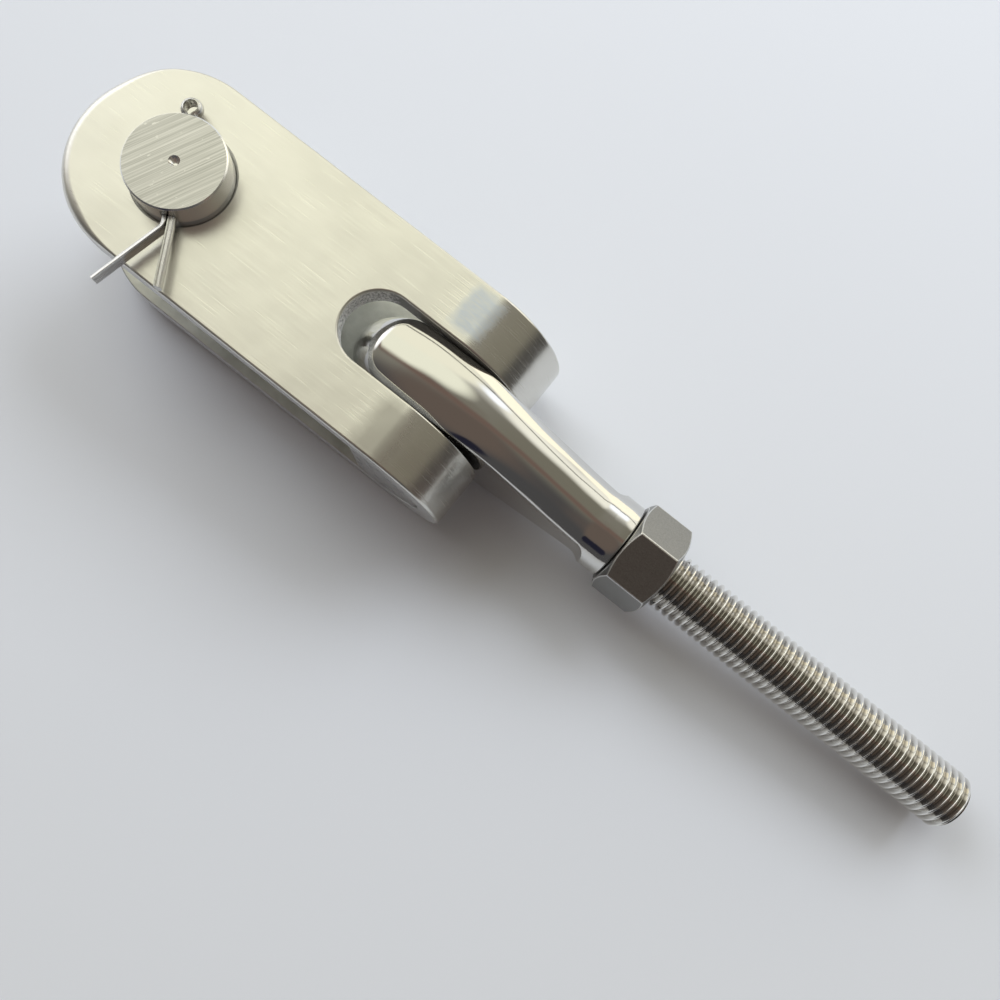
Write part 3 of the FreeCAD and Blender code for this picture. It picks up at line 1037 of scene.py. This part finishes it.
def bar_steel():
    """Cross-bar, worn dull in the bend."""
    metal = Metal("t_bolt_bar", (0.5, 0.5, 0.49), 0.3)
    cut = metal.noise(metal.grain((0.4, 0.4, 0.4)), detail=4)
    metal.tint(cut, (0.44, 0.44, 0.43), (0.58, 0.58, 0.57))
    metal.set_roughness(cut, 0.24, 0.38)
    metal.bump(cut, 0.03)
    return metal.material


def thread_steel():
    """Rolled thread: bright crests, and roots darkened as painted shade in the grooves."""
    metal = Metal("t_bolt_thread", (0.66, 0.65, 0.62), 0.12)
    rolled = metal.noise(metal.grain((1.5, 0.25, 1.0)), detail=3)
    # painted shade: the colour darkens with depth from crest to root
    metal.tint(metal.place("Z"), (0.84, 0.83, 0.80), (0.36, 0.34, 0.31), 0.1, 1.0)
    metal.set_roughness(rolled, 0.05, 0.12)
    metal.bump(rolled, 0.006)
    return metal.material


def matte_steel(name, color, roughness):
    """Fine even grit."""
    metal = Metal(name, color, roughness)
    grit = metal.noise(metal.grain((2.2, 2.2, 2.2)), detail=4, roughness=0.7)
    metal.tint(grit, tuple(c * 0.86 for c in color), tuple(c * 1.12 for c in color), 0.35, 0.65)
    metal.set_roughness(grit, roughness - 0.06, roughness + 0.06)
    metal.bump(grit, 0.05)
    return metal.material


def paper():
    material = bpy.data.materials.new("paper")
    material.use_nodes = True
    shader = material.node_tree.nodes["Principled BSDF"]
    shader.inputs["Base Color"].default_value = (0.775, 0.795, 0.86, 1)
    shader.inputs["Roughness"].default_value = 0.85
    shader.inputs["Specular IOR Level"].default_value = 0.2
    return material


# ---- studio

def floor():
    """Pale sheet that touches the rim of the pin's head and the underside of the bend."""
    rim = Vector((-HEAD_RADIUS + PIN_CHAMFER, pin_low.z))
    centre = Vector((PIVOT_X, 0))
    apart = centre - rim
    tilt = math.atan2(apart.y, apart.x) - math.asin(OUTER / apart.length)
    normal = Vector((-math.sin(tilt), 0, math.cos(tilt)))
    clear = 0.0001
    middle = Vector((rim.x, 0, rim.y)) * MM - normal * clear
    across = Vector((0, 1, 0))
    along = across.cross(normal)
    half_size = 2.0
    mesh = bpy.data.meshes.new("floor")
    mesh.from_pydata([middle + along * (x * half_size) + across * (y * half_size)
                      for x, y in ((-1, -1), (1, -1), (1, 1), (-1, 1))], [], [(0, 1, 2, 3)])
    mesh.materials.append(paper())
    sheet = bpy.data.objects.new("floor", mesh)
    bpy.context.scene.collection.objects.link(sheet)


def direction(azimuth, elevation):
    """Unit vector; azimuth goes from +X towards +Y."""
    a, e = math.radians(azimuth), math.radians(elevation)
    return Vector((math.cos(a) * math.cos(e), math.sin(a) * math.cos(e), math.sin(e)))


def tone_over(tree, below, look, pool, bar=False):
    """Lay a soft pool of another tone over the room, or a bar square to where it aims."""
    azimuth, elevation, inner, outer, tone = pool
    dot = tree.nodes.new("ShaderNodeVectorMath")
    dot.operation = "DOT_PRODUCT"
    dot.inputs[1].default_value = direction(azimuth, elevation)
    tree.links.new(look.outputs["Generated"], dot.inputs[0])
    value = dot.outputs["Value"]
    reach = math.cos
    if bar:
        size = tree.nodes.new("ShaderNodeMath")
        size.operation = "ABSOLUTE"
        tree.links.new(value, size.inputs[0])
        value = size.outputs["Value"]
        reach = math.sin
    spread = tree.nodes.new("ShaderNodeMapRange")
    spread.interpolation_type = "SMOOTHSTEP"
    spread.inputs["From Min"].default_value = reach(math.radians(outer))
    spread.inputs["From Max"].default_value = reach(math.radians(inner))
    tree.links.new(value, spread.inputs["Value"])
    mix = tree.nodes.new("ShaderNodeMixRGB")
    mix.inputs["Color2"].default_value = (*tone, 1)
    tree.links.new(spread.outputs["Result"], mix.inputs["Fac"])
    tree.links.new(below, mix.inputs["Color1"])
    return mix.outputs["Color"]


def world():
    """Soft room: a base tone with broad pools and bars of lighter and darker tone in it."""
    made = bpy.data.worlds.new("room")
    bpy.context.scene.world = made
    made.use_nodes = True
    tree = made.node_tree
    background = tree.nodes["Background"]
    look = tree.nodes.new("ShaderNodeTexCoord")
    color = tree.nodes.new("ShaderNodeRGB")
    color.outputs[0].default_value = (*ROOM_TONE, 1)
    last = color.outputs[0]
    for pool in DARK_POOLS:
        last = tone_over(tree, last, look, pool)
    last = tone_over(tree, last, look, BROWN_BAR, bar=True)
    for pool in BRIGHT_POOLS:
        last = tone_over(tree, last, look, pool)
    last = tone_over(tree, last, look, THIN_DARK_BAR, bar=True)
    tree.links.new(last, background.inputs["Color"])
    background.inputs["Strength"].default_value = 1.0


def window(name, azimuth, elevation, distance, width, height, power):
    """Soft rectangular light aimed at the middle of the object."""
    lamp = bpy.data.lights.new(name, "AREA")
    lamp.shape = "RECTANGLE"
    lamp.size = width
    lamp.size_y = height
    lamp.energy = power
    lamp.color = DAYLIGHT
    made = bpy.data.objects.new(name, lamp)
    bpy.context.scene.collection.objects.link(made)
    aim = Vector((PIVOT_X * MM, 0, 0))
    made.location = aim + direction(azimuth, elevation) * distance
    made.rotation_euler = (aim - made.location).to_track_quat("-Z", "Y").to_euler()
    made.visible_glossy = False      # the room's pools of light are what the metal reflects


def camera():
    lens = bpy.data.cameras.new("camera")
    lens.sensor_width = 36
    lens.lens = 30.34
    lens.clip_start = 0.01
    made = bpy.data.objects.new("camera", lens)
    made.location = (0.1443, -0.0548, 0.2568)
    made.rotation_euler = tuple(math.radians(a) for a in (9.2452, -3.1557, 38.1978))
    bpy.context.scene.collection.objects.link(made)
    bpy.context.scene.camera = made


toggle_strap(satin_steel(), wall_steel(), cut_steel(), inner_steel())
clevis_pin(milled_steel(), turned_steel())
cotter_pin(wire_steel())
t_bolt(polished_steel(), bar_steel(), thread_steel())
# the nut's second, bright material is a painted highlight on its rounded edges
lock_nut(matte_steel("nut_matte", (0.29, 0.29, 0.285), 0.36),
         matte_steel("nut_edge", (0.7, 0.7, 0.69), 0.34))
floor()
world()
window("window_left", 160, 42, 1.2, 0.7, 0.6, 4.0)
window("window_back", 84, 40, 1.1, 0.7, 0.5, 5.2)
camera()
bpy.context.scene.view_settings.view_transform = "Standard"
